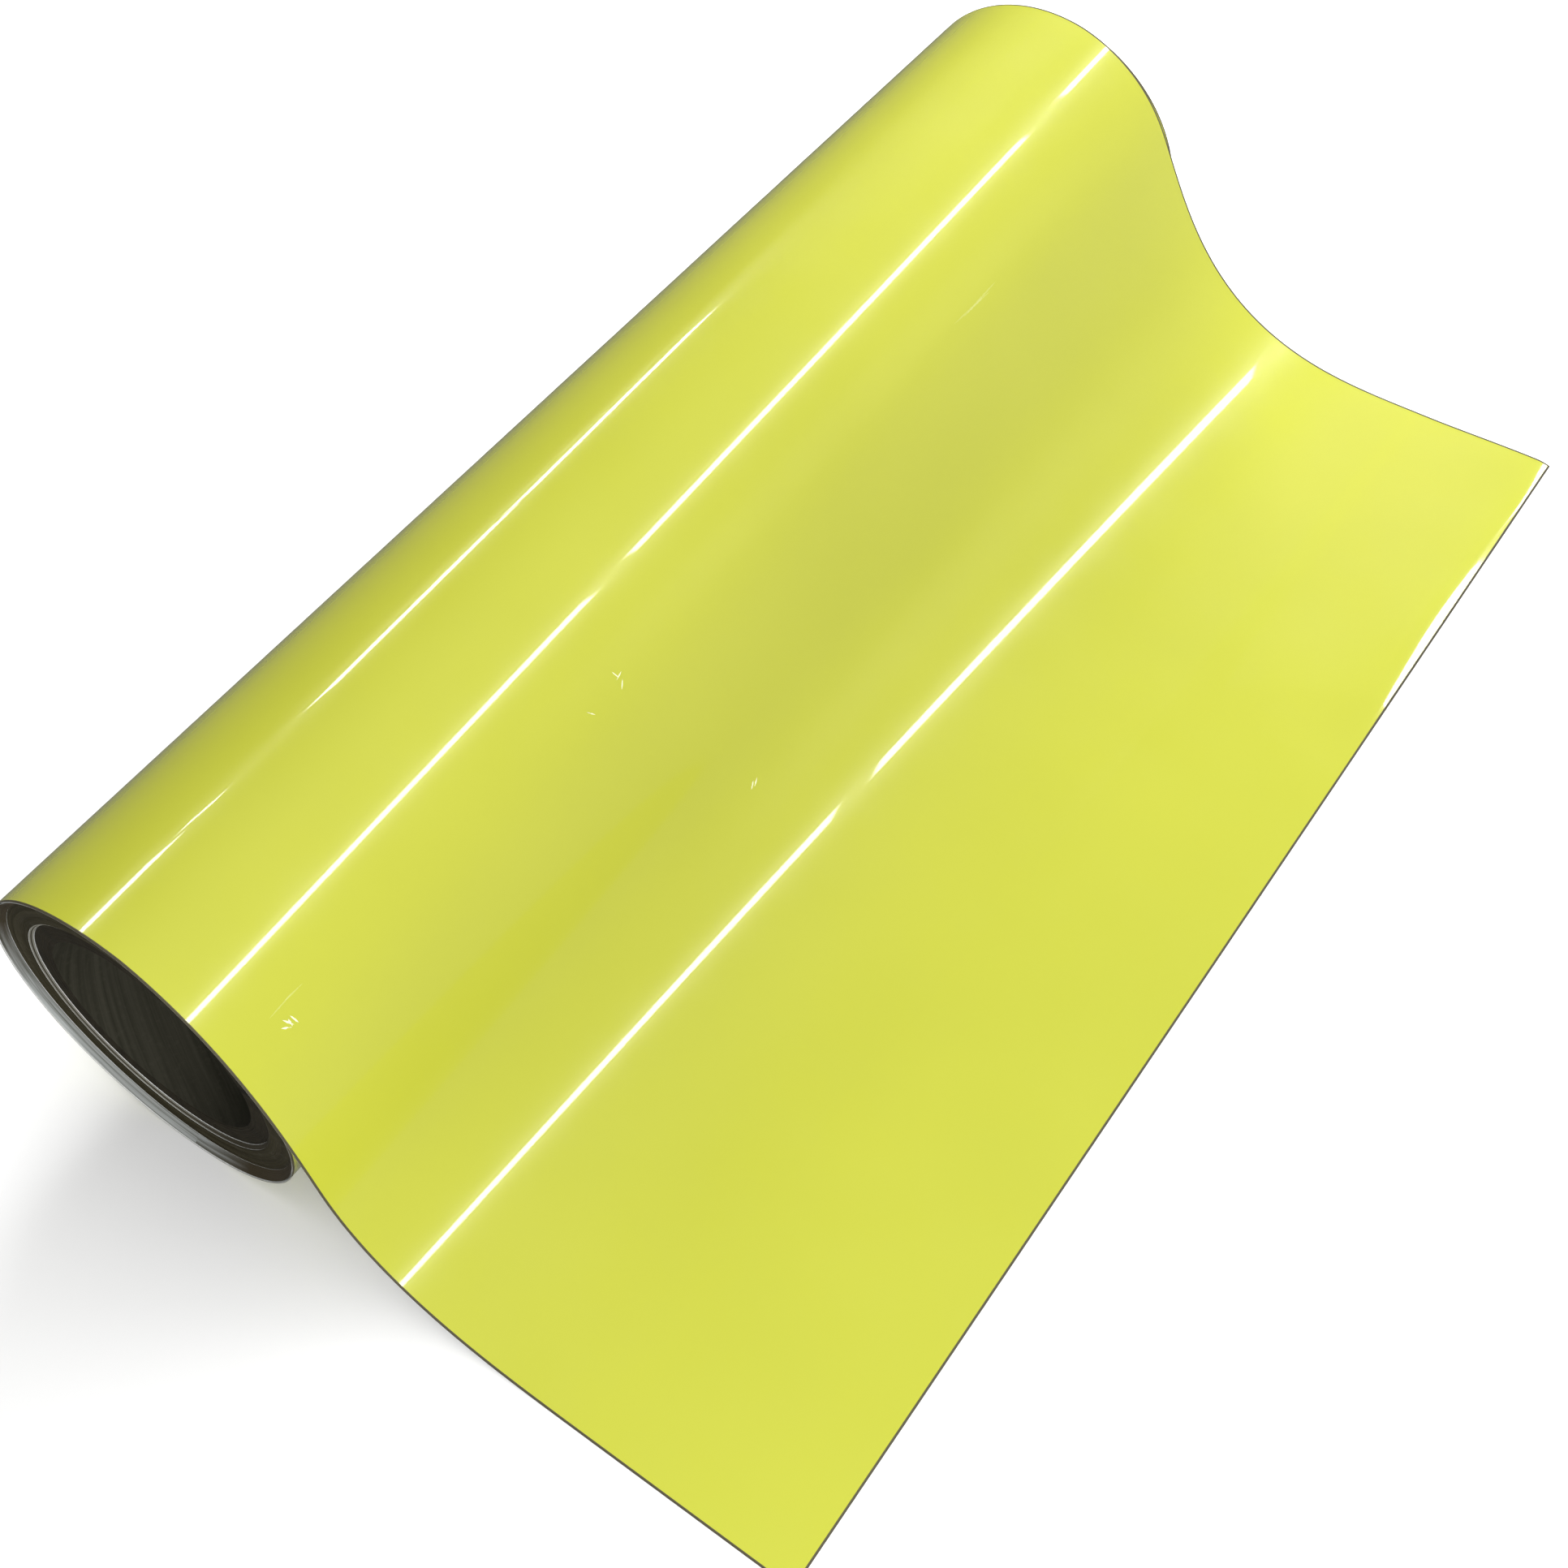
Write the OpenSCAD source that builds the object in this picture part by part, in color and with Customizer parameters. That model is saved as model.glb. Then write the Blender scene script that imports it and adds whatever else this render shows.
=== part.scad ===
// A roll of self-adhesive sign vinyl that lies on a table with its outer end drawn off.
// The web is a gloss film, an adhesive coat and a paper release liner, wound on a board core.
// The row's origin is the middle of the core, on its axis. +Y runs along the core, +Z is up,
// and the drawn-off sheet lies towards +X.

/* [Roll] */
// Width of the web, which is also the length of the core
web_w = 500; // [300:10:1000]
// Radius over the outermost wrap
roll_r = 57.9; // [52:0.1:70]

/* [Core] */
// Bore of the core, the 3 inch size
bore_d = 76.2; // [50:0.1:76.2]
// Wall of the core
core_wall = 7; // [3:0.5:7]
// Smooth ply on each face of the core
face_ply = 0.6; // [0.3:0.1:1]
// Width of the strip of tape that holds the web's inner end to the core
tape_w = 25; // [10:1:40]
// Thickness of that tape
tape_t = 0.1; // [0.05:0.01:0.2]
// How far the tape stops short of each end of the core
tape_inset = 10; // [2:1:40]

/* [Web] */
// Thickness of the gloss vinyl film
film_t = 0.08; // [0.05:0.01:0.12]
// Thickness of the adhesive coat
adhesive_t = 0.03; // [0.02:0.01:0.05]
// Thickness of the paper release liner
liner_t = 0.14; // [0.08:0.01:0.2]

/* [Winding] */
// Depth of the first few wraps, next to the core
start_depth = 1.1; // [0.5:0.1:1.5]
// How much further in than the pack's near face the very first wrap starts
start_lean = 1.2; // [0:0.1:3]
// Depth of the outer wraps that have slipped sideways, one past the other
slipped_depth = 2.4; // [0.5:0.1:4]
// Sideways slip of the outermost wrap, past the face of the pack
slip = 2.7; // [0:0.1:8]
// How far the pack's near face stands out past the end of the core
pack_proud = 1.2; // [0:0.1:5]
// Room between the outermost wrap and the wraps that turn inside it
turning_gap = 0.3; // [0.2:0.05:0.5]

/* [Drawn-off sheet] */
// Angle past the top of the roll at which the sheet's near edge leaves it
near_leave = 16; // [15:1:50]
// Angle past the top of the roll at which the sheet's far edge leaves it
far_leave = 54; // [15:1:60]
// Steepest slope of the near edge on its way down
near_steepest = 73; // [62:0.5:75]
// Steepest slope of the far edge on its way down
far_steepest = 66.5; // [62:0.5:75]
// How early the near edge levels out, where 1 is evenly
near_ease = 0.65; // [0.6:0.01:1.1]
// How early the far edge levels out, where 1 is evenly
far_ease = 1.01; // [0.6:0.01:1.1]
// Length of the flat run from the foot of the bend to the near corner
flat_run = 61; // [20:1:600]
// How much shorter the far corner is cut
corner_short = 6.6; // [0:0.1:9]
// Sideways drift of the sheet's edges by the time they reach the free end
drift = 7.6; // [0:0.1:10]
// Room between the foot of the bend and the flat run that slides away from it
seam_gap = 0.3; // [0.2:0.05:0.5]

/* [Hidden] */

// Smoothness of the round parts, of the outermost wrap and of the bend
round_fn = 180;
wrap_steps = 120;
bend_steps = 60;
// The outermost wrap stops just short of a full turn
wrap_turn = 359;

web_t = film_t + adhesive_t + liner_t;
film_depth = [0, film_t];
adhesive_depth = [film_t, film_t + adhesive_t];
liner_depth = [film_t + adhesive_t, web_t];

bore_r = bore_d / 2;
core_r = bore_r + core_wall;
start_r = core_r + tape_t;
pack_r = start_r + start_depth;
// The outermost wrap's inner end lies this much further in, clear of the sheet that lies on it
wrap_fall = 1.3 * web_t;
turning_r = roll_r - wrap_fall - web_t - turning_gap;
slipped_r = turning_r - slipped_depth;

core_y = -web_w / 2;
pack_y = core_y - pack_proud;
wrap_y = pack_y - slip;

// The bend starts here, on the roll, as an angle past its top
bend_start = 15;

// The table under the roll, the foot of the bend and the sheet's near corner
table_z = -roll_r;
sheet_z = table_z + web_t;
seam_x = 2.97 * roll_r;
corner_x = seam_x + flat_run;

// Each edge of the sheet: the angle at which it leaves the roll, its steepest slope and its ease
near_edge = [near_leave, near_steepest, near_ease];
far_edge = [far_leave, far_steepest, far_ease];

// Slope below level at share u of the upper part, which takes over the roll's own curve
function upper_slope(u, edge) = edge[0] + (edge[1] - edge[0]) * sin(90 * u);

// Slope below level at share u of the lower part, which levels out on the table
function lower_slope(u, edge) = edge[1] * (1 + cos(180 * pow(u, edge[2]))) / 2;

function sum(list, i = 0) = i == len(list) ? 0 : list[i] + sum(list, i + 1);

// Middles of the steps that a part of the bend is added up in
middles = [for (i = [0.5 : bend_steps]) i / bend_steps];

// Length along the roll, before the edge leaves it
function roll_part(edge) = roll_r * (edge[0] - bend_start) * PI / 180;

// Length of the upper part, at whose start the curve is exactly the roll's
function upper_part(edge) = roll_r * (edge[1] - edge[0]) * PI / 180 * PI / 2;

// Length of the lower part, which follows from the height that is left to fall
function lower_part(edge) =
    let (upper_fall = upper_part(edge) * sum([for (u = middles) sin(upper_slope(u, edge))]) / bend_steps,
         lower_share = sum([for (u = middles) sin(lower_slope(u, edge))]) / bend_steps)
    (roll_r * cos(edge[0]) - upper_fall - sheet_z) / lower_share;

function fall_length(edge) = roll_part(edge) + upper_part(edge) + lower_part(edge);

// Slope below level at distance s along the bend
function slope(s, edge) =
    let (on_roll = roll_part(edge),
         upper = upper_part(edge))
    s < on_roll ? bend_start + s / roll_r * 180 / PI
    : s < on_roll + upper ? upper_slope((s - on_roll) / upper, edge)
    : lower_slope((s - on_roll - upper) / lower_part(edge), edge);

// Points [x, z] of an edge's upper face, from the roll to the table
function fall_line(edge) =
    let (step = fall_length(edge) / bend_steps,
         middle_slopes = [for (i = [0.5 : bend_steps]) slope(i * step, edge)])
    [for (i = 0, x = roll_r * sin(bend_start), z = roll_r * cos(bend_start);
          i <= bend_steps;
          x = x + step * cos(middle_slopes[min(i, bend_steps - 1)]),
          z = z - step * sin(middle_slopes[min(i, bend_steps - 1)]),
          i = i + 1)
        [x, max(z, sheet_z)]];

// Length of an edge from the roll to its free corner
function edge_length(edge, end_x) =
    fall_length(edge) + end_x - fall_line(edge)[bend_steps][0];

// Y of an edge at distance x along the flat run
function flat_y(edge, start_y, end_x, x) =
    start_y - drift * (1 - (end_x - x) / edge_length(edge, end_x));

// Points of one edge of the bend, at a depth below the web's upper face
function bend_rail(edge, start_y, end_x, depth) =
    let (line = fall_line(edge),
         step = fall_length(edge) / bend_steps,
         whole = edge_length(edge, end_x))
    concat(
        [for (i = [0 : bend_steps])
            let (angle = slope(i * step, edge))
            [line[i][0] - depth * sin(angle),
             start_y - drift * i * step / whole,
             line[i][1] - depth * cos(angle)]],
        [[seam_x, flat_y(edge, start_y, end_x, seam_x), sheet_z - depth]]);

// The two triangles of a strip's cell between rails a and b, which start at those point numbers.
// The upper and under faces are cut along the same diagonal, so that a layer keeps its thickness.
function cell(a, b, i, under) =
    under
        ? [[a + i, b + i, b + i + 1], [a + i, b + i + 1, a + i + 1]]
        : [[a + i, b + i, a + i + 1], [b + i, b + i + 1, a + i + 1]];

// A tube along the roll's axis
module tube(inner_r, outer_r, y, length)
    translate([0, y, 0])
        rotate([-90, 0, 0])
            rotate_extrude($fn = round_fn)
                translate([inner_r, 0])
                    square([outer_r - inner_r, length]);

// A band of wraps whose ends lean, because each wrap lies a little further along than the next
module leaning_band(inner_r, outer_r, inner_y, outer_y)
    rotate([-90, 0, 0])
        rotate_extrude($fn = round_fn)
            polygon([[inner_r, inner_y], [outer_r, outer_y],
                     [outer_r, outer_y + web_w], [inner_r, inner_y + web_w]]);

// One layer of the outermost wrap, a spiral
module wrap_layer(depth) {
    radius = [for (i = [0 : wrap_steps]) roll_r - wrap_fall * i / wrap_steps];
    angle = [for (i = [0 : wrap_steps]) bend_start - wrap_turn * i / wrap_steps];
    translate([0, wrap_y + web_w, 0])
        rotate([90, 0, 0])
            linear_extrude(web_w)
                polygon(concat(
                    [for (i = [0 : wrap_steps])
                        (radius[i] - depth[0]) * [sin(angle[i]), cos(angle[i])]],
                    [for (i = [wrap_steps : -1 : 0])
                        (radius[i] - depth[1]) * [sin(angle[i]), cos(angle[i])]]));
}

// One layer of the sheet between the roll and the table
module bend_layer(depth) {
    near_top = bend_rail(near_edge, wrap_y, corner_x, depth[0]);
    near_low = bend_rail(near_edge, wrap_y, corner_x, depth[1]);
    far_top = bend_rail(far_edge, wrap_y + web_w, corner_x - corner_short, depth[0]);
    far_low = bend_rail(far_edge, wrap_y + web_w, corner_x - corner_short, depth[1]);
    n = len(near_top);
    last = n - 1;
    polyhedron(
        points = concat(near_top, far_top, far_low, near_low),
        faces = concat(
            [for (k = [0 : 3], i = [0 : n - 2], t = cell(k * n, (k + 1) % 4 * n, i, k == 2)) t],
            [[0, 3 * n, 2 * n], [0, 2 * n, n]],
            [[last, n + last, 2 * n + last], [last, 2 * n + last, 3 * n + last]]));
}

// One layer of the flat run
module flat_layer(depth) {
    start_x = seam_x + seam_gap;
    far_x = corner_x - corner_short;
    translate([0, 0, sheet_z - depth[1]])
        linear_extrude(depth[1] - depth[0])
            polygon([[start_x, flat_y(near_edge, wrap_y, corner_x, start_x)],
                     [corner_x, wrap_y - drift],
                     [far_x, wrap_y + web_w - drift],
                     [start_x, flat_y(far_edge, wrap_y + web_w, far_x, start_x)]]);
}

// Smooth ply that lines the bore
module core_inner_ply()
    color([0.42, 0.40, 0.35])
        tube(bore_r, bore_r + face_ply, core_y, web_w);

// Spiral-wound board of the core
module core_body()
    color([0.36, 0.34, 0.29])
        tube(bore_r + face_ply, core_r - face_ply, core_y, web_w);

// Smooth ply round the outside of the core
module core_outer_ply()
    color([0.45, 0.43, 0.38])
        tube(core_r - face_ply, core_r, core_y, web_w);

// Strip of tape along the core, under the web's inner end
module starter_tape()
    color([0.85, 0.84, 0.78])
        translate([0, core_y + tape_inset, 0])
            rotate([-90, 0, 0])
                rotate_extrude(angle = tape_w / core_r * 180 / PI, $fn = round_fn)
                    translate([core_r, 0])
                        square([tape_t, web_w - 2 * tape_inset]);

// First few wraps of the web, round the core
module start_wraps()
    color([0.55, 0.54, 0.44])
        leaning_band(start_r, pack_r, pack_y + start_lean, pack_y);

// The wound pack, about forty wraps of the web
module wound_pack()
    color([0.30, 0.29, 0.18])
        tube(pack_r, slipped_r, pack_y, web_w);

// Outer wraps, slipped sideways past the face of the pack, each further than the one inside it
module slipped_wraps()
    color([0.60, 0.60, 0.50])
        leaning_band(slipped_r, turning_r, pack_y, wrap_y);

// Gloss film, adhesive and liner of the outermost wrap
module wrap_film()
    color([0.84, 0.85, 0.30])
        wrap_layer(film_depth);

module wrap_adhesive()
    color([0.80, 0.80, 0.72])
        wrap_layer(adhesive_depth);

module wrap_liner()
    color([0.90, 0.91, 0.90])
        wrap_layer(liner_depth);

// Gloss film, adhesive and liner of the bend between the roll and the table
module bend_film()
    color([0.84, 0.85, 0.30])
        bend_layer(film_depth);

module bend_adhesive()
    color([0.80, 0.80, 0.72])
        bend_layer(adhesive_depth);

module bend_liner()
    color([0.90, 0.91, 0.90])
        bend_layer(liner_depth);

// Gloss film, adhesive and liner of the flat run and its free end
module flat_film()
    color([0.84, 0.85, 0.30])
        flat_layer(film_depth);

module flat_adhesive()
    color([0.80, 0.80, 0.72])
        flat_layer(adhesive_depth);

module flat_liner()
    color([0.90, 0.91, 0.90])
        flat_layer(liner_depth);

core_inner_ply();
core_body();
core_outer_ply();
starter_tape();
start_wraps();
wound_pack();
slipped_wraps();
wrap_film();
wrap_adhesive();
wrap_liner();
bend_film();
bend_adhesive();
bend_liner();
flat_film();
flat_adhesive();
flat_liner();
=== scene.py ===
"""A roll of gloss sign vinyl on a board core, with its outer end drawn off and laid flat.

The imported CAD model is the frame. One strip of film, adhesive and liner replaces the CAD's plain
layers, the wound bands get the edges of their wraps, and the core gets the plies of its board.
"""
import math
import random

import bpy
import numpy as np
from mathutils import Matrix, Vector


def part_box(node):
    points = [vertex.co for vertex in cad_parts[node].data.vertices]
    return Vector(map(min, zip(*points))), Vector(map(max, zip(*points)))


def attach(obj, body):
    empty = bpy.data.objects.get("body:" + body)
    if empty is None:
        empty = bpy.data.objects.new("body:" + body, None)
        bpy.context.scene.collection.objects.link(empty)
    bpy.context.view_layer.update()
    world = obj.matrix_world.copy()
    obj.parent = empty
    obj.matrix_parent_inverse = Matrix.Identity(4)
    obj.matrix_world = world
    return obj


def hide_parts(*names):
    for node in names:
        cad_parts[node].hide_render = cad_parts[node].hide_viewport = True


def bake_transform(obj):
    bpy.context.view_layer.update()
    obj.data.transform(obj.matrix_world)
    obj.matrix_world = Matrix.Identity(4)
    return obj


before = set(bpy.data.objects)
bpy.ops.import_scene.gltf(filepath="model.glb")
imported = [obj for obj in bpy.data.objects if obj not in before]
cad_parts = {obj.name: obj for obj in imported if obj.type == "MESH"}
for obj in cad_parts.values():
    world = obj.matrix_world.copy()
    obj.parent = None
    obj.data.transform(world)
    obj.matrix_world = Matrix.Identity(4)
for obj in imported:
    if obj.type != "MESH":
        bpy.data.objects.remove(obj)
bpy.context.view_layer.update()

MM = 0.001

# ---------------------------------------------------------------- sizes, from the frame

film_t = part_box("flat_film")[1].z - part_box("flat_film")[0].z
adhesive_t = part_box("flat_adhesive")[1].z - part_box("flat_adhesive")[0].z
liner_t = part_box("flat_liner")[1].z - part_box("flat_liner")[0].z
web_t = film_t + adhesive_t + liner_t

table_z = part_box("flat_liner")[0].z
sheet_z = table_z + web_t
roll_r = -table_z
near_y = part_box("wrap_film")[0].y
far_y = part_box("wrap_film")[1].y
web_w = far_y - near_y
near_corner_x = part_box("flat_film")[1].x
drift = near_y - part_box("flat_film")[0].y

# The drawn-off sheet's shape, the same rule and values as in the CAD model. Each edge leaves the roll
# at one slope below level, falls to its steepest, and eases out on the table.
BEND_START = math.radians(15)
CORNER_SHORT = 6.6 * MM
WRAP_TURN = math.radians(359)
WRAP_FALL = 1.3          # how far the outermost wrap steps in over its turn, in webs
NEAR_EDGE = {"leave": math.radians(16), "steepest": math.radians(73), "ease": 0.65}
FAR_EDGE = {"leave": math.radians(54), "steepest": math.radians(66.5), "ease": 1.01}

# Steps of the strip's grid: across it, round the roll, down the bend and along the flat run
STRIP_STEPS = {"across": 100, "wrap": 150, "bend": 120, "flat": 48}

# Width of the dark margin cells along the cut edges, whose colour is a painted shadow line round the
# sheet
MARGIN = 0.7 * MM

# The wound bands and the core: thickness of a wrap and of a board ply, depth of the groove between
# two of them, and steps round a ring
WRAP_PITCH = web_t
PLY_PITCH = 0.58 * MM
GROOVE = 0.10 * MM
AROUND = 240


# ---------------------------------------------------------------- the strip's shape

def upper_slope(u, edge):
    """Slope below level at share u of the upper part, which takes over the roll's own curve."""
    return edge["leave"] + (edge["steepest"] - edge["leave"]) * np.sin(np.pi / 2 * u)


def lower_slope(u, edge):
    """Slope below level at share u of the lower part, which levels out on the table."""
    return edge["steepest"] * (1 + np.cos(np.pi * u ** edge["ease"])) / 2


def edge_line(edge, start_y, end_x, bend_steps, flat_steps):
    """One edge of the drawn-off sheet, from the roll to its free corner.

    Returns the points of the upper face, the slope below level and the distance along the web.
    """
    parts = 400
    middles = (np.arange(parts) + 0.5) / parts
    on_roll = roll_r * (edge["leave"] - BEND_START)
    upper = roll_r * (edge["steepest"] - edge["leave"]) * np.pi / 2
    upper_fall = upper * np.sin(upper_slope(middles, edge)).mean()
    left_to_fall = roll_r * math.cos(edge["leave"]) - upper_fall - sheet_z
    lower = left_to_fall / np.sin(lower_slope(middles, edge)).mean()
    fall = on_roll + upper + lower

    def slope(s):
        u = np.clip((s - on_roll) / upper, 0, 1)
        v = np.clip((s - on_roll - upper) / lower, 0, 1)
        late = np.where(s < on_roll + upper, upper_slope(u, edge), lower_slope(v, edge))
        return np.where(s < on_roll, BEND_START + s / roll_r, late)

    fine = 12
    step = fall / (bend_steps * fine)
    mid_slope = slope((np.arange(bend_steps * fine) + 0.5) * step)
    x = roll_r * math.sin(BEND_START) + np.r_[0, np.cumsum(step * np.cos(mid_slope))][::fine]
    z = roll_r * math.cos(BEND_START) - np.r_[0, np.cumsum(step * np.sin(mid_slope))][::fine]
    s = np.linspace(0, fall, bend_steps + 1)
    slopes = slope(s)
    left = 1 - np.linspace(0, 1, flat_steps)[1:]      # the grid is finer towards the free edge
    flat_x = np.append(end_x - MARGIN - (end_x - MARGIN - x[-1]) * left ** 1.8, end_x)
    s = np.r_[s, fall + flat_x - x[-1]]
    points = np.stack([np.r_[x, flat_x],
                       start_y - drift * s / s[-1],
                       np.maximum(np.r_[z, np.full(flat_steps, sheet_z)], sheet_z)], axis=1)
    return points, np.r_[slopes, np.zeros(flat_steps)], s


def wrap_line(y, steps):
    """The outermost wrap's upper face at one edge, from its inner end up to the bend."""
    share = np.linspace(1, 0, steps + 1)[:-1]
    angle = BEND_START - WRAP_TURN * share
    radius = roll_r - WRAP_FALL * web_t * share
    points = np.stack([radius * np.sin(angle), np.full(steps, y), radius * np.cos(angle)], axis=1)
    return points, angle, -roll_r * WRAP_TURN * share


def web_lines():
    """Both edges of the whole strip as (points, slopes, distances), from 0 at the bend's top."""
    lines = []
    for edge, y, end_x in ((NEAR_EDGE, near_y, near_corner_x),
                           (FAR_EDGE, far_y, near_corner_x - CORNER_SHORT)):
        wrap = wrap_line(y, STRIP_STEPS["wrap"])
        sheet = edge_line(edge, y, end_x, STRIP_STEPS["bend"], STRIP_STEPS["flat"])
        lines.append([np.concatenate(pair) for pair in zip(wrap, sheet)])
    return lines


def smooth(low, high, value):
    """0 below low, 1 above high and a smooth step between them."""
    t = np.clip((value - low) / (high - low), 0, 1)
    return t * t * (3 - 2 * t)


def curl(to_edge, y):
    """Height of the sheet over the table near its free edge, which still curls down as it was wound.

    Only the far part of the edge curls. It slopes evenly over a narrow rim and then eases out.
    """
    steepness = np.tan(np.radians(16.6 - 27 * (y - 0.16))) * smooth(0.072, 0.102, y)
    rim = (1.0 + 2.6 * np.exp(-((y - 0.145) / 0.045) ** 2) + 1.6 * smooth(0.215, 0.24, y)) * MM
    ease = 1.2 * MM
    rising = np.minimum(to_edge, rim) + ease * (1 - np.exp(-np.maximum(to_edge - rim, 0) / ease))
    return steepness * rising * (1 - smooth(6 * MM, 50 * MM, to_edge))


def ripple(s, y, height):
    """Slight unevenness of the strip along and across, between the roll and the table."""
    free = smooth(0.03, 0.10, s) * smooth(1 * MM, 18 * MM, height)
    crossed = 0.08 * np.sin(y / 0.083 + 1.1) * np.sin(s / 0.034 + 0.4)
    slanting = 0.045 * np.sin(y / 0.055 - s / 0.061 + 2.3)
    return free * (crossed + slanting) * MM


def web_layer(name, top, low):
    """A closed thin solid: one layer of the strip, between two depths below its upper face."""
    steps = STRIP_STEPS
    (near, near_slope, near_s), (far, far_slope, far_s) = web_lines()
    margin = MARGIN / web_w
    share = np.r_[0, np.linspace(margin, 1 - margin, steps["across"] - 1), 1][None, :, None]

    def between(at_near, at_far):
        return at_near[:, None] * (1 - share[..., 0]) + at_far[:, None] * share[..., 0]

    def face(depth):
        rails = [points - depth * np.stack([np.sin(slope), 0 * slope, np.cos(slope)], axis=1)
                 for points, slope in ((near, near_slope), (far, far_slope))]
        return rails[0][:, None] * (1 - share) + rails[1][:, None] * share

    s = between(near_s, far_s)
    slope = between(near_slope, far_slope)
    faces = [face(top), face(low)]
    end_x = faces[0][-1, :, 0][None, :]
    y = faces[0][..., 1]
    to_edge = np.maximum(end_x - faces[0][..., 0], 0)
    on_table = np.arange(len(near_s))[:, None] > steps["wrap"] + steps["bend"]
    lift = np.where(on_table, curl(to_edge, y), 0)
    out = ripple(s, y, faces[0][..., 2] - sheet_z)
    shift = np.stack([out * np.sin(slope), 0 * out, out * np.cos(slope) + lift], axis=2)
    return grid_solid(name, [f + shift for f in faces])


def grid_solid(name, grids):
    """A closed mesh from an upper and an under grid of points.

    Its rim and the outermost cells of the upper grid, except at the wound end, have material index 1.
    """
    rows, columns = grids[0].shape[:2]
    vertices = np.concatenate([g.reshape(-1, 3) for g in grids])
    upper = np.arange(rows * columns).reshape(rows, columns)
    under = upper + rows * columns

    def quads(a, b, c, d):
        return np.stack([a.ravel(), b.ravel(), c.ravel(), d.ravel()], axis=1)

    faces = np.concatenate([
        quads(upper[:-1, :-1], upper[1:, :-1], upper[1:, 1:], upper[:-1, 1:]),
        quads(under[:-1, :-1], under[:-1, 1:], under[1:, 1:], under[1:, :-1]),
        quads(upper[:-1, 0], under[:-1, 0], under[1:, 0], upper[1:, 0]),
        quads(upper[:-1, -1], upper[1:, -1], under[1:, -1], under[:-1, -1]),
        quads(upper[0, :-1], upper[0, 1:], under[0, 1:], under[0, :-1]),
        quads(upper[-1, :-1], under[-1, :-1], under[-1, 1:], upper[-1, 1:])])
    kinds = np.zeros(len(faces), np.int32)
    kinds[2 * (rows - 1) * (columns - 1):] = 1
    margin = np.zeros((rows - 1, columns - 1), np.int32)
    margin[:, 0] = margin[:, -1] = margin[-1] = 1
    kinds[:margin.size] = margin.ravel()
    return new_mesh(name, vertices, faces, kinds)


def new_mesh(name, vertices, faces, kinds=None):
    """A smooth shaded mesh object. kinds are the faces' material indices, with a crisp edge between."""
    mesh = bpy.data.meshes.new(name)
    mesh.from_pydata(vertices.tolist(), [], faces.tolist())
    mesh.polygons.foreach_set("use_smooth", np.ones(len(faces), bool))
    if kinds is not None:
        mesh.polygons.foreach_set("material_index", kinds)
        mark_sharp(mesh, kinds)
    mesh.update()
    piece = bpy.data.objects.new(name, mesh)
    bpy.context.scene.collection.objects.link(piece)
    return piece


def mark_sharp(mesh, kinds):
    """Keeps the edges between faces of different kinds crisp."""
    loop_edge = np.zeros(len(mesh.loops), np.int32)
    mesh.loops.foreach_get("edge_index", loop_edge)
    loop_kind = np.repeat(kinds, 4)
    lowest = np.full(len(mesh.edges), 99)
    highest = np.full(len(mesh.edges), -1)
    np.minimum.at(lowest, loop_edge, loop_kind)
    np.maximum.at(highest, loop_edge, loop_kind)
    sharp = mesh.attributes.new("sharp_edge", "BOOLEAN", "EDGE")
    sharp.data.foreach_set("value", lowest != highest)


# ---------------------------------------------------------------- the wound bands and the core

def tube_ends(node):
    """A CAD tube's inner and outer radius, and the Y of its near and far end at each."""
    points = np.array([node.matrix_world @ v.co for v in node.data.vertices])
    radius = np.hypot(points[:, 0], points[:, 2])
    inside = points[radius < (radius.min() + radius.max()) / 2, 1]
    outside = points[radius > (radius.min() + radius.max()) / 2, 1]
    return [(values.min(), values.max()) for values in (radius, inside, outside)]


def layer_profile(radii, ends, layers, rng, uneven, groove, wander, angle):
    """The rings (radius, depth behind the end) over a tube's end, two to a layer and one between."""
    inner_r, outer_r = radii
    step = (outer_r - inner_r) / layers
    profile = []
    for k in range(layers):
        lean = ends[0] + (ends[1] - ends[0]) * (k + 0.5) / layers
        wave = 1 + np.sin(angle * rng.choice((1, 2, 3)) + rng.uniform(0, 6.3))
        depth = lean + abs(rng.gauss(0, uneven)) + wander * wave
        profile.append((inner_r + (k + 0.12) * step, depth))
        profile.append((inner_r + (k + 0.80) * step, depth + 0.15 * groove))
        if k < layers - 1:
            profile.append((inner_r + (k + 0.94) * step, depth + groove))
    edge = min(0.1 * step, 0.03 * MM)
    profile.insert(0, (inner_r, profile[0][1] + edge))
    profile.append((outer_r, profile[-1][1] + edge))
    return profile


def ringed_tube(name, node, pitch, uneven, groove, wander, seed):
    """A tube whose ends show its layers: each stands a little in or out, with a groove between.

    Its faces have material index 0 on the walls and 1 on the ends.
    """
    rng = random.Random(seed)
    radii, inside, outside = tube_ends(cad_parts[node])
    layers = max(1, round((radii[1] - radii[0]) / pitch))
    angle = np.linspace(0, 2 * np.pi, AROUND, endpoint=False)
    loop = []
    for far, inward in ((0, 1), (1, -1)):
        end_y = min(inside[0], outside[0]) if far == 0 else max(inside[1], outside[1])
        ends = (inward * (inside[far] - end_y), inward * (outside[far] - end_y))
        profile = layer_profile(radii, ends, layers, rng, uneven, groove, wander, angle)
        ring = [np.stack([r * np.sin(angle), end_y + inward * (d + 0 * angle), r * np.cos(angle)],
                         axis=1) for r, d in profile]
        loop += ring[::inward]
    faces, kinds = [], []
    n = len(loop)
    for i in range(n):
        a = i * AROUND + np.arange(AROUND)
        b = (i + 1) % n * AROUND + np.arange(AROUND)
        faces.append(np.stack([a, np.roll(a, -1), np.roll(b, -1), b], axis=1))
        kinds.append(np.full(AROUND, 0 if i in (n // 2 - 1, n - 1) else 1))
    kinds = np.concatenate(kinds).astype(np.int32)
    return new_mesh(name, np.concatenate(loop), np.concatenate(faces), kinds)


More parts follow.
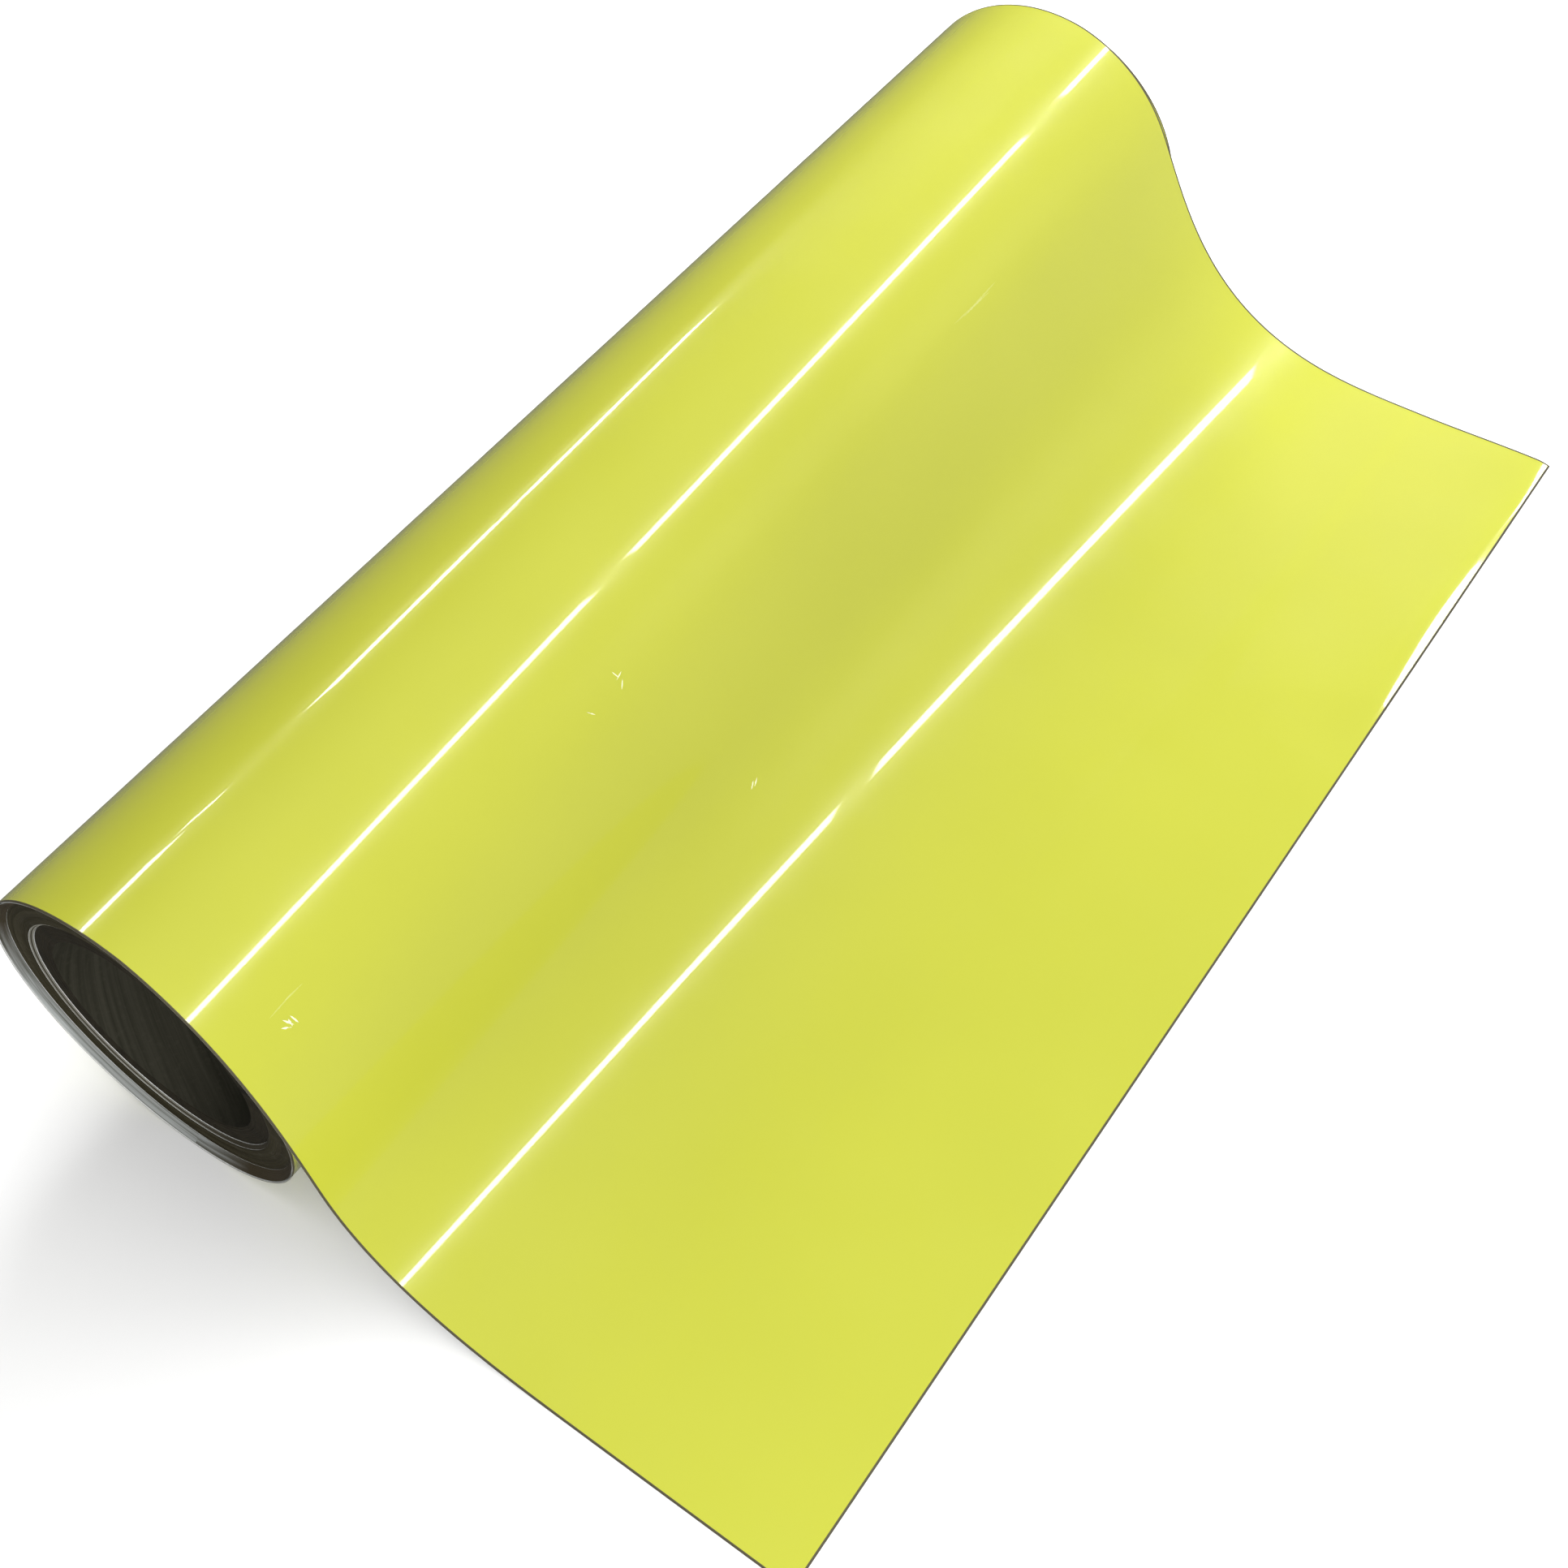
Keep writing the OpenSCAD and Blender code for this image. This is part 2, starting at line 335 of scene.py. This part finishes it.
# ---------------------------------------------------------------- materials

class Shader:
    """A new material with a Principled shader, and short calls that add nodes to it."""

    def __init__(self, name, **values):
        self.material = bpy.data.materials.new(name)
        self.material.use_nodes = True
        self.tree = self.material.node_tree
        self.surface = self.tree.nodes["Principled BSDF"]
        self.sockets(**values)

    def node(self, kind, inputs=(), **settings):
        """A new node with its settings and its inputs, by name or number."""
        made = self.tree.nodes.new(kind)
        for key, value in settings.items():
            setattr(made, key, value)
        for key, value in dict(inputs).items():
            self.put(made.inputs[key], value)
        return made

    def put(self, socket, value):
        """Links another node's output to a socket, or sets a plain value on it."""
        if isinstance(value, bpy.types.NodeSocket):
            self.tree.links.new(value, socket)
        else:
            socket.default_value = value

    def place(self):
        """Position on the piece, in metres."""
        return self.node("ShaderNodeTexCoord").outputs["Object"]

    def sockets(self, **values):
        """Puts each value on the shader's socket of that name."""
        for key, value in values.items():
            self.put(self.surface.inputs[key.replace("_", " ").title().replace("Ior", "IOR")], value)

    def math(self, operation, *values):
        made = self.node("ShaderNodeMath", operation=operation)
        for socket, value in zip(made.inputs, values):
            self.put(socket, value)
        return made.outputs[0]

    def times(self, a, b):
        return self.math("MULTIPLY", a, b)

    def minus(self, a, b):
        return self.math("SUBTRACT", a, b)

    def vector_math(self, operation, a, b=None, output=0):
        inputs = {0: a} if b is None else {0: a, 1: b}
        return self.node("ShaderNodeVectorMath", inputs, operation=operation).outputs[output]

    def noise(self, scale, vector=None, detail=3.0, rough=0.55, distortion=0.0):
        made = self.node("ShaderNodeTexNoise", {"Scale": scale, "Detail": detail, "Roughness": rough,
                                                "Distortion": distortion})
        self.put(made.inputs["Vector"], vector or self.place())
        return made.outputs["Fac"]

    def span(self, value, low, high, to_low=0.0, to_high=1.0):
        return self.node("ShaderNodeMapRange", {"Value": value, "From Min": low, "From Max": high,
                                                "To Min": to_low, "To Max": to_high}).outputs[0]

    def mix(self, share, a, b, blend="MIX"):
        made = self.node("ShaderNodeMix", data_type="RGBA", blend_type=blend)
        self.put(made.inputs["Factor"], share)
        self.put(made.inputs[6], a)
        self.put(made.inputs[7], b)
        return made.outputs[2]

    def vector(self, x=0.0, y=0.0, z=0.0):
        return self.node("ShaderNodeCombineXYZ", {"X": x, "Y": y, "Z": z}).outputs[0]

    def axes(self):
        split = self.node("ShaderNodeSeparateXYZ", {"Vector": self.place()})
        return split.outputs[0], split.outputs[1], split.outputs[2]

    def polar(self):
        """Distance from the roll's axis, angle round it from -pi to pi, and Y."""
        x, y, z = self.axes()
        radius = self.math("SQRT", self.math("ADD", self.times(x, x), self.times(z, z)))
        return radius, self.math("ARCTAN2", x, z), y

    def ring_noise(self, over_radius, over_angle, shift, rough=0.55):
        """Noise drawn out along the rings of a wound end."""
        radius, angle, _ = self.polar()
        place = self.vector(self.times(radius, over_radius), self.times(angle, over_angle), shift)
        return self.noise(1.0, place, rough=rough)

    def stroke(self, start, end, width, uneven):
        """1 along a short line between two places, ragged and thin towards its ends."""
        way = (end - start).normalized()
        from_start = self.vector_math("SUBTRACT", self.place(), start)
        along = self.vector_math("DOT_PRODUCT", from_start, way, "Value")
        sideways = self.vector_math("CROSS_PRODUCT", from_start, way)
        gap = self.vector_math("LENGTH", sideways, output="Value")
        share = self.math("DIVIDE", along, (end - start).length)
        taper = self.times(self.times(share, self.minus(1.0, share)), 4.0)
        reach = self.times(self.math("MAXIMUM", taper, 0.0), self.span(uneven, 0.3, 0.6, 0.4, 1.0))
        return self.span(self.minus(self.times(reach, width), gap), 0.0, 0.25 * width)

    def bump(self, height, distance, strength=1.0, under=None):
        made = self.node("ShaderNodeBump",
                         {"Height": height, "Distance": distance, "Strength": strength})
        if under is not None:
            self.put(made.inputs["Normal"], under)
        return made.outputs[0]


def rgb(red, green, blue):
    return (red, green, blue, 1.0)


# Clusters of short scuffs in the film. Places are rough and in millimetres: how far down the sheet from
# the bend's top, how far in from the near edge and how far strewn. Then the strokes' number, length and
# width, how white the film has gone (partly scuff whitening, partly a painted highlight for the scuffs'
# sparkle), and the range of their headings in degrees.
SCUFFS = ((45, 20, 2, 4, 3.5, 0.40, 0.80, (-70, 60)),
          (45, 160, 10, 4, 4.5, 0.30, 0.70, (-75, 70)),
          (110, 190, 3, 2, 3.0, 0.35, 0.65, (-70, -25)),
          (40, 25, 6, 2, 12.0, 0.30, 0.10, (87, 93)),
          (45, 375, 14, 2, 24.0, 0.50, 0.09, (87, 93)))
SCUFF_SEED = 5


def on_strip(s, y):
    """The place on the strip's upper face at a distance along it from the bend's top, and at a Y."""
    near, far = web_lines()
    share = (y - near_y) / web_w
    points, slopes, distances = [a * (1 - share) + b * share for a, b in zip(near, far)]
    return Vector((np.interp(s, distances, points[:, 0]), y, np.interp(s, distances, points[:, 2])))


def scuff_strokes():
    """The strokes of every cluster as (start, end, width, white), drawn at random from one seed."""
    rng = random.Random(SCUFF_SEED)
    for down, inward, strewn, number, length, width, white, headings in SCUFFS:
        for _ in range(number):
            heading = math.radians(rng.uniform(*headings))
            half = length * rng.uniform(0.7, 1.2) / 2
            at_s = down + rng.uniform(-0.2, 0.2) * strewn
            at_y = near_y / MM + inward + rng.uniform(-1, 1) * strewn
            start, end = [on_strip((at_s + side * half * math.cos(heading)) * MM,
                                   (at_y + side * half * math.sin(heading)) * MM) for side in (-1, 1)]
            yield start, end, width * MM, white


def film_material():
    """Cast gloss vinyl: an even lemon colour under a clear skin, faintly uneven, with a few scuffs."""
    s = Shader("gloss_film", coat_weight=1.0, coat_roughness=0.035, coat_ior=1.42,
               specular_ior_level=0.25)
    cloud = s.noise(9.0, detail=2.0)
    colour = s.mix(s.span(cloud, 0.3, 0.7), rgb(0.360, 0.375, 0.030), rgb(0.378, 0.392, 0.033))
    skin = s.bump(s.noise(45.0, detail=1.0), 0.00003, 0.07)
    uneven = s.noise(900.0, detail=2.0)
    for start, end, width, white in scuff_strokes():
        mark = s.stroke(start, end, width, uneven)
        # The scuffs' whitening is partly a painted highlight, standing in for their sparkle.
        colour = s.mix(s.times(mark, white), colour, rgb(0.86, 0.87, 0.60))
        skin = s.bump(mark, 0.2 * white ** 2 * MM, 1.0, under=skin)
    s.sockets(base_color=colour,
              roughness=s.span(s.noise(60.0), 0.3, 0.7, 0.18, 0.25),
              normal=skin,
              coat_normal=skin)
    return s.material


def cut_edge_shadow_material():
    """The knife-cut edge and the narrow margin beside it, painted dark as a shadow line along the
    sheet's edges.
    """
    s = Shader("film_cut_edge", roughness=0.6)
    nicks = s.noise(1500.0)
    s.sockets(base_color=s.mix(nicks, rgb(0.035, 0.029, 0.014), rgb(0.075, 0.064, 0.032)),
              normal=s.bump(nicks, 0.00002, 0.5))
    return s.material


def adhesive_material():
    """Clear acrylic adhesive, seen only along its thin edge."""
    s = Shader("acrylic_adhesive", roughness=0.3, ior=1.47)
    s.sockets(base_color=s.mix(s.noise(300.0), rgb(0.50, 0.50, 0.40), rgb(0.58, 0.57, 0.48)),
              normal=s.bump(s.noise(900.0), 0.00002, 0.4))
    return s.material


def liner_material():
    """Calendered release paper: off-white, smooth, with fibres and a fine cross grain."""
    s = Shader("release_paper", roughness=0.5)
    x, y, z = s.axes()
    fibres = s.noise(1.0, s.vector(s.times(x, 900.0), s.times(y, 260.0),
                                   s.times(z, 900.0)), detail=4.0)
    blotch = s.noise(28.0)
    base = s.mix(s.span(blotch, 0.3, 0.7), rgb(0.60, 0.61, 0.60), rgb(0.68, 0.69, 0.68))
    s.sockets(base_color=s.mix(s.span(fibres, 0.45, 0.75), base, rgb(0.52, 0.53, 0.51)),
              roughness=s.span(fibres, 0.3, 0.7, 0.42, 0.6),
              normal=s.bump(fibres, 0.00003, 0.5))
    return s.material


def wound_edge_material():
    """Cut edges of the wound web: fine rings of film and liner with dust, their tones all painted dark
    as shade on the end, which faces away from the lights.
    """
    s = Shader("wound_edge", roughness=0.7, specular_ior_level=0.15)
    rings = s.ring_noise(3400.0, 0.8, 0.0, rough=0.7)
    bands = s.ring_noise(520.0, 0.5, 3.0)
    dust = s.noise(420.0, detail=4.0)
    colour = s.mix(s.span(rings, 0.35, 0.65), rgb(0.014, 0.011, 0.005), rgb(0.030, 0.026, 0.012))
    colour = s.mix(s.span(bands, 0.4, 0.7, 0.0, 0.5), colour, rgb(0.055, 0.049, 0.027))
    colour = s.mix(s.span(dust, 0.55, 0.8, 0.0, 0.25), colour, rgb(0.10, 0.095, 0.075))
    s.sockets(base_color=colour,
              roughness=s.span(rings, 0.3, 0.7, 0.55, 0.8),
              normal=s.bump(rings, 0.00006, 0.7))
    return s.material


def lit_share(s, lit_angle, low, high):
    """1 on the part of a ring round one angle, falling to 0 away from it: the mask of painted shade
    round an end.
    """
    _, angle, _ = s.polar()
    return s.span(s.math("COSINE", s.minus(angle, math.radians(lit_angle))), low, high)


def slipped_edge_material():
    """The slipped wraps' ends: bare liner edges in pale streaks, held darker than bare liner and
    darkening round the ring away from the lower left, both painted shade.
    """
    s = Shader("slipped_edge", roughness=0.6, specular_ior_level=0.2)
    rings = s.ring_noise(1500.0, 0.5, 7.0, rough=0.7)
    streaks = s.ring_noise(700.0, 0.9, 2.0)
    colour = s.mix(s.span(rings, 0.42, 0.58), rgb(0.13, 0.135, 0.12), rgb(0.34, 0.355, 0.345))
    colour = s.mix(s.span(streaks, 0.5, 0.6, 0.0, 0.7), colour, rgb(0.47, 0.495, 0.495))
    # Painted shade: the end goes dark away from the lower left.
    colour = s.mix(lit_share(s, -137, 0.35, 0.85), rgb(0.042, 0.033, 0.018), colour)
    s.sockets(base_color=colour,
              roughness=s.span(streaks, 0.3, 0.7, 0.45, 0.7),
              normal=s.bump(rings, 0.00005, 0.6))
    return s.material


def start_edge_material(inner_r, outer_r):
    """Ends of the first wraps: two pale lines of liner with a dark one between, all painted dark as
    shade in the recess, the pale lines fading round the ring as painted shade.
    """
    s = Shader("start_edge", roughness=0.6, specular_ior_level=0.2)
    radius, _, _ = s.polar()
    share = s.span(radius, inner_r, outer_r)
    off_middle = s.math("ABSOLUTE", s.minus(share, 0.5))
    pale = s.span(off_middle, 0.06, 0.16)
    wear = s.span(s.ring_noise(1200.0, 2.0, 5.0), 0.3, 0.7, 0.6, 1.0)
    # Painted shade: the pale lines fade away from the left side of the ring.
    shown = s.times(pale, s.times(wear, lit_share(s, -95, -0.35, 0.35)))
    colour = s.mix(shown, rgb(0.036, 0.031, 0.019), rgb(0.23, 0.225, 0.19))
    s.sockets(base_color=colour, normal=s.bump(pale, 0.00005, 0.5))
    return s.material


def board_material(name, dark, light, helix=0.110):
    """Grey spiral-wound board: long fibres along the helix, and the dark butt joint of the ply."""
    s = Shader(name, roughness=0.8, specular_ior_level=0.08)
    radius, angle, y = s.polar()
    turns = s.math("DIVIDE", angle, 2 * math.pi)
    along = s.minus(s.math("DIVIDE", y, helix), turns)
    joint = s.math("ABSOLUTE", s.minus(s.math("FRACT", s.math("ADD", along, 40.0)), 0.5))
    seam = s.span(joint, 0.004, 0.009, 1.0, 0.0)
    turned = s.times(along, 2 * math.pi)
    across = s.math("ADD", s.math("COSINE", angle), s.math("SINE", angle))
    streaks = s.noise(1.0, s.vector(s.times(s.math("COSINE", turned), 9.0),
                                    s.times(s.math("SINE", turned), 9.0),
                                    s.times(across, 0.6)), detail=5.0, rough=0.7)
    fibres = s.noise(520.0, detail=4.0)
    colour = s.mix(s.span(streaks, 0.35, 0.65), dark, light)
    colour = s.mix(s.span(fibres, 0.55, 0.8, 0.0, 0.3), colour, rgb(*(1.5 * c for c in light[:3])))
    colour = s.mix(s.times(seam, 0.75), colour, rgb(0.008, 0.007, 0.006))
    s.sockets(base_color=colour, roughness=s.span(streaks, 0.3, 0.7, 0.7, 0.95))
    fuzz = s.bump(fibres, 0.00010, 0.5)
    s.sockets(normal=s.bump(s.minus(1.0, seam), 0.00020, 0.8, under=fuzz))
    return s.material


def liner_edge_material():
    """The liner's cut edge: compressed fibres, a little darker than its faces, and darkened further as
    painted shadow along the sheet's edges.
    """
    s = Shader("paper_cut_edge", roughness=0.8)
    fibres = s.noise(1800.0, detail=4.0)
    s.sockets(base_color=s.mix(fibres, rgb(0.16, 0.16, 0.15), rgb(0.28, 0.28, 0.27)),
              normal=s.bump(fibres, 0.00002, 0.5))
    return s.material


def tape_material():
    """Creped paper tape under the web's inner end."""
    s = Shader("paper_tape", roughness=0.55)
    crepe = s.noise(700.0)
    s.sockets(base_color=s.mix(crepe, rgb(0.62, 0.58, 0.44), rgb(0.72, 0.68, 0.54)),
              normal=s.bump(crepe, 0.00005, 0.6))
    return s.material


def floor_material():
    """Plain pale floor, which glows white away from the object: painted light standing in for a lit
    studio sweep.
    """
    s = Shader("pale_floor", roughness=0.7, specular_ior_level=0.1, emission_strength=1.0)
    away = s.vector_math("LENGTH", s.place(), output="Value")
    far_glow = s.mix(s.span(away, 0.9, 1.8), rgb(0.0, 0.0, 0.0), rgb(1.0, 1.0, 1.0))
    s.sockets(emission_color=far_glow,
              base_color=s.mix(s.noise(3.0), rgb(0.80, 0.80, 0.80), rgb(0.82, 0.82, 0.82)))
    return s.material


# ---------------------------------------------------------------- the pieces

def finish_piece(piece, slot, materials, nodes):
    """Gives a new piece its materials and hides the CAD nodes it stands for. The slot is not used."""
    for material in materials:
        piece.data.materials.append(material)
    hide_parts(*nodes)


def draw_off(piece):
    """Bakes the strip's transform into its mesh."""
    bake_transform(piece)


def make_strip():
    """Film, adhesive and liner, each one continuous layer from the outermost wrap to the free edge."""
    film_edge_shadow = cut_edge_shadow_material()
    under_adhesive = film_t + adhesive_t
    layers = (
        ("gloss_film_layer", 0, film_t, "film", film_material(), film_edge_shadow),
        ("adhesive_layer", film_t, under_adhesive, "adhesive", adhesive_material(), film_edge_shadow),
        ("release_liner_layer", under_adhesive, web_t, "liner", liner_material(),
         liner_edge_material()))
    for name, top, low, layer, material, edge in layers:
        piece = web_layer(name, top, low)
        nodes = [f"{part}_{layer}" for part in ("wrap", "bend", "flat")]
        finish_piece(piece, layer, [material, edge], nodes)
        draw_off(piece)


def make_wound_bands():
    """The three bands of wraps, each with the edges of its wraps at both ends."""
    wall = bpy.data.materials["release_paper"]
    start_inner, start_outer = tube_ends(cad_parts["start_wraps"])[0]
    bands = (("start_wraps", start_edge_material(start_inner, start_outer), 0.02, 0.01, 11),
             ("wound_pack", wound_edge_material(), 0.05, 0.03, 23),
             ("slipped_wraps", slipped_edge_material(), 0.05, 0.02, 37))
    for node, edge, uneven, wander, seed in bands:
        piece = ringed_tube(f"{node}_detail", node, WRAP_PITCH, uneven * MM, GROOVE, wander * MM, seed)
        finish_piece(piece, "wound_web", [wall, edge], [node])
        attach(piece, "roll")


def make_core():
    """The core's three plies, and the tape under the web's inner end."""
    # Painted shade: these board tones are far darker than grey board, for the shade in the bore and on
    # the recessed end.
    board = board_material("core_board", rgb(0.014, 0.012, 0.008), rgb(0.023, 0.020, 0.013))
    ply = board_material("core_ply", rgb(0.024, 0.023, 0.016), rgb(0.044, 0.042, 0.031))
    plies = (("core_inner_ply", ply, "core_ply", 41), ("core_body", board, "core_board", 43),
             ("core_outer_ply", ply, "core_ply", 47))
    for node, material, slot, seed in plies:
        piece = ringed_tube(f"{node}_detail", node, PLY_PITCH, 0.04 * MM, GROOVE, 0.02 * MM, seed)
        finish_piece(piece, slot, [material, board], [node])
        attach(piece, "roll")
    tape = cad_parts["starter_tape"]
    tape.data.materials.clear()
    tape.data.materials.append(tape_material())


# ---------------------------------------------------------------- floor, light and camera

def make_floor():
    half = 6.0
    z = table_z - 0.05 * MM      # just clear of the liner
    corners = np.array([(-half, -half, z), (half, -half, z), (half, half, z), (-half, half, z)])
    floor = new_mesh("floor", corners, np.array([[0, 1, 2, 3]]))
    floor.data.materials.append(floor_material())
    floor.visible_glossy = False


def area_light(name, at, aim, size, power, up=(0, 0, 1)):
    """A rectangular light at a point, facing another; size is (along the right, along the up)."""
    light = bpy.data.lights.new(name, "AREA")
    light.shape = "RECTANGLE"
    light.size, light.size_y = size
    light.energy = power
    lamp = bpy.data.objects.new(name, light)
    bpy.context.scene.collection.objects.link(lamp)
    back = (Vector(at) - Vector(aim)).normalized()
    right = Vector(up).cross(back).normalized()
    lamp.matrix_world = Matrix((right, back.cross(right), back)).transposed().to_4x4()
    lamp.matrix_world.translation = at
    return lamp


# The rows of ceiling lights: their height, how much X changes along Y, and each row's X at Y = 0, its
# lamps' Y ranges, their width and their radiance
TUBE_Z = 2.0
TUBE_SKEW = -0.51
TUBE_ROWS = (("tube_a", 2.01, ((-0.75, 1.215), (1.305, 2.245)), 0.15, 26.0),
             ("tube_b", 1.96, ((2.335, 3.1),), 0.15, 26.0),
             ("tube_c", -1.35, ((-0.9, 0.535), (0.60, 0.635)), 0.11, 26.0),
             ("tube_d", -1.265, ((0.885, 1.44), (1.475, 2.225)), 0.11, 26.0))

# The soft lights that light the object: place, aim, size and power
FILLS = (("ceiling", (0.10, 0.75, 2.00), (0.10, 0.74, 0.00), (3.4, 3.4), 38.0),
         ("left_fill", (-0.45, 1.0, 0.70), (-0.03, 0.20, 0.02), (0.8, 0.5), 18.5),
         ("far_fill", (0.15, 0.85, 0.40), (0.04, 0.25, 0.00), (0.5, 0.3), 3.6),
         ("right_fill", (0.72, 0.58, 0.28), (0.26, 0.28, -0.05), (0.5, 0.3), 3.2),
         ("near_fill", (0.45, -0.56, 0.24), (0.22, -0.28, -0.05), (0.4, 0.3), 2.6))

# The surroundings: brightness on the dim and on the bright side, and the way to the bright side
WORLD_LOW = 0.18
WORLD_HIGH = 0.64
WORLD_BRIGHT = (0.85, -0.10, 0.50)

CAMERA_AT = (380.6, -403.2, 540.9)       # in millimetres
CAMERA_AIM = (71.6, -39.2, -57.9)
CAMERA_ROLL = math.radians(-6.19)
CAMERA_LENS = 51.25


def tube_row(name, x_at_zero, spans, width, radiance):
    """A row of long ceiling lights that runs nearly along the roll, seen only as glints in the film.

    spans are the lights' Y ranges. The light they would give comes from the wide ceiling light.
    """
    along = Vector((TUBE_SKEW, 1, 0)).normalized()
    for number, (low, high) in enumerate(spans):
        middle_y = (low + high) / 2
        at = Vector((x_at_zero + TUBE_SKEW * middle_y, middle_y, TUBE_Z))
        length = (high - low) * math.hypot(TUBE_SKEW, 1)
        power = radiance * math.pi * length * width
        below = at - Vector((0, 0, 1))
        tube = area_light(f"{name}_{number}", at, below, (width, length), power, up=along)
        tube.visible_diffuse = False


def make_world():
    """Soft surroundings, brighter overhead and towards +X. Seen directly, they are plain white."""
    world = bpy.data.worlds.new("studio")
    bpy.context.scene.world = world
    world.use_nodes = True
    tree = world.node_tree
    background = tree.nodes["Background"]
    background.inputs["Color"].default_value = rgb(1.0, 1.0, 0.98)
    way = tree.nodes.new("ShaderNodeTexCoord")
    lean = tree.nodes.new("ShaderNodeVectorMath")
    lean.operation = "DOT_PRODUCT"
    lean.inputs[1].default_value = Vector(WORLD_BRIGHT).normalized()
    ramp = tree.nodes.new("ShaderNodeMapRange")
    ramp.interpolation_type = "SMOOTHSTEP"
    for name, value in (("From Min", -0.35), ("From Max", 0.55),
                        ("To Min", WORLD_LOW), ("To Max", WORLD_HIGH)):
        ramp.inputs[name].default_value = value
    tree.links.new(way.outputs["Generated"], lean.inputs[0])
    tree.links.new(lean.outputs["Value"], ramp.inputs["Value"])
    path = tree.nodes.new("ShaderNodeLightPath")
    seen = tree.nodes.new("ShaderNodeMath")
    seen.operation = "MAXIMUM"
    tree.links.new(path.outputs["Is Camera Ray"], seen.inputs[0])
    tree.links.new(ramp.outputs[0], seen.inputs[1])
    tree.links.new(seen.outputs[0], background.inputs["Strength"])


def make_lights():
    """The glints' ceiling rows, and the soft lights, which are kept out of reflections."""
    for row in TUBE_ROWS:
        tube_row(*row)
    for name, at, aim, size, power in FILLS:
        fill = area_light(name, Vector(at), Vector(aim), size, power)
        fill.visible_glossy = False


def make_camera():
    """The photographer's standpoint, as found from the roll's outlines."""
    camera = bpy.data.cameras.new("camera")
    camera.lens = CAMERA_LENS
    camera.sensor_width = 36.0
    camera.clip_start = 0.01
    holder = bpy.data.objects.new("camera", camera)
    bpy.context.scene.collection.objects.link(holder)
    at = Vector(CAMERA_AT) * MM
    aim = Vector(CAMERA_AIM) * MM
    turn = (aim - at).to_track_quat("-Z", "Y").to_matrix().to_4x4()
    holder.matrix_world = Matrix.Translation(at) @ turn @ Matrix.Rotation(CAMERA_ROLL, 4, "Z")
    bpy.context.scene.camera = holder


def main():
    make_camera()
    make_strip()
    make_wound_bands()
    make_core()
    make_floor()
    make_world()
    make_lights()
    bpy.context.scene.view_settings.view_transform = "Standard"


main()
